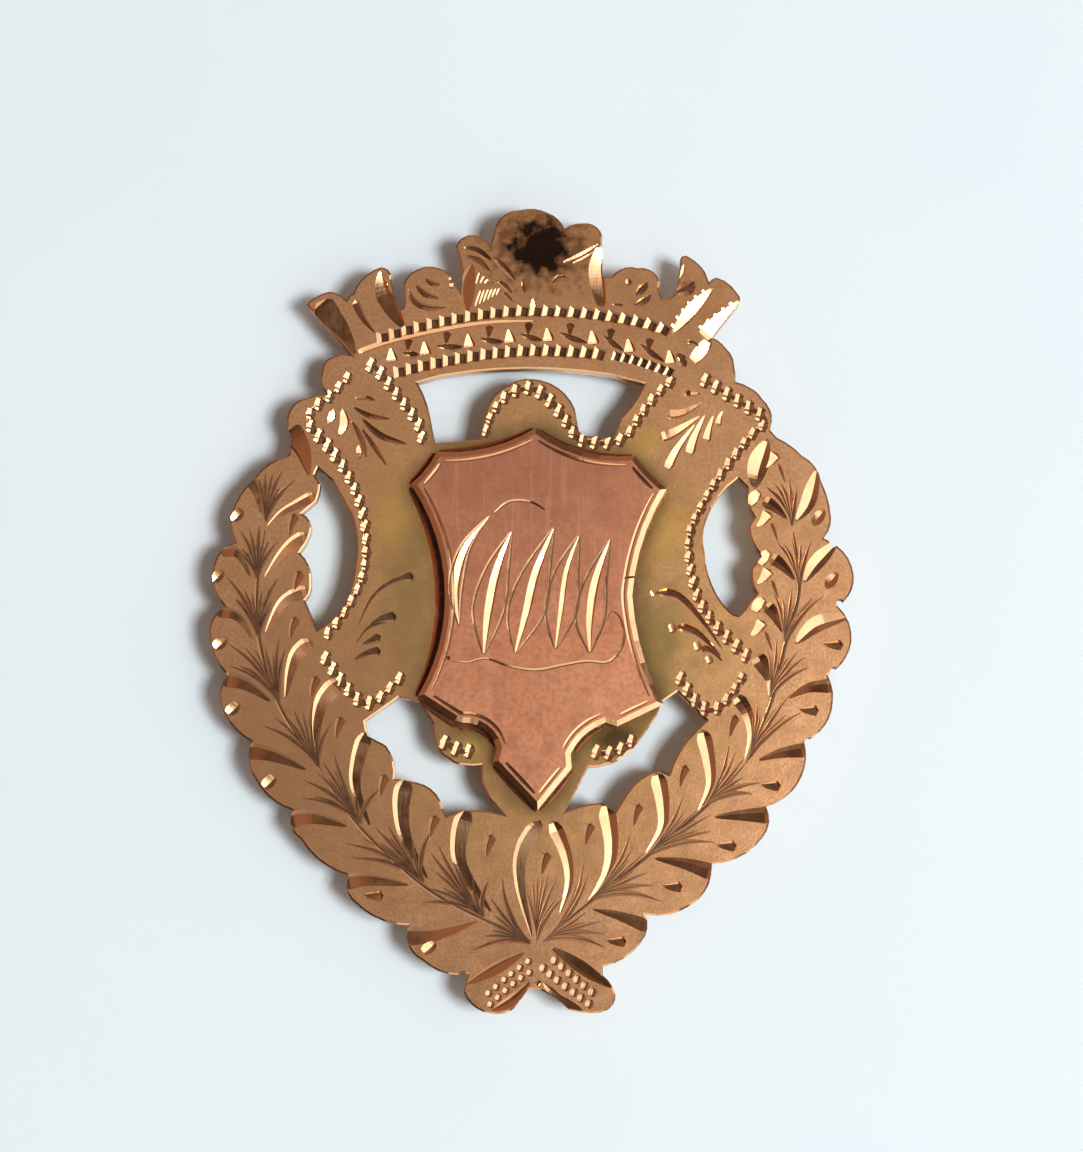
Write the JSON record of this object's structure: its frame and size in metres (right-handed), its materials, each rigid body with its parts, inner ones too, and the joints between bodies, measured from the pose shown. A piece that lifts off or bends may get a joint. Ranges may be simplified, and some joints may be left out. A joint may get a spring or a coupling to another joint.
{
  "type": "cap badge",
  "caption": "Pierced and engraved metal cap badge: crown, scrolled cartouche and laurel wreath with an applied shield, and a hinged brooch pin with a C catch on the back.",
  "frame": {"origin": "on the surface the badge lies on, under the middle of its outline", "axes": "+Z out of the engraved face, +Y towards the crown, +X to the right seen from the front"},
  "size_m": [0.0336, 0.0421, 0.0034],
  "materials": {
    "engraved_gold": "satin, bright-cut engraving, light tarnish round the shield",
    "rose_gold": "satin with fine scratches and polished bevels",
    "fitting_gold": "satin, unpolished back",
    "pin_wire": "drawn wire, lightly polished"
  },
  "bodies": {
    "badge": {"base_plate": "engraved_gold", "shield": "rose_gold", "hinge_patch": "fitting_gold", "hinge_knuckle_upper": "fitting_gold", "hinge_knuckle_lower": "fitting_gold", "hinge_rivet": "pin_wire", "catch_patch": "fitting_gold", "catch_hook": "fitting_gold"},
    "pin_hinge": {"pin_knuckle": "pin_wire"},
    "pin": {"pin_stem": "pin_wire"}
  },
  "joints": [
    {"name": "pin_swing", "type": "hinge", "parent": "badge", "child": "pin_hinge", "pos_m": [-0.0076, 0.0064, 0.0007], "axis": [0, 1, 0], "range_deg": [0, 110]},
    {"name": "pin_flex", "type": "hinge", "parent": "pin_hinge", "child": "pin", "pos_m": [-0.00692, 0.0064, 0.0007], "axis": [0, 0, 1], "range_deg": [0, 4.15], "stiffness_Nm_per_rad": 0.001}
  ]
}
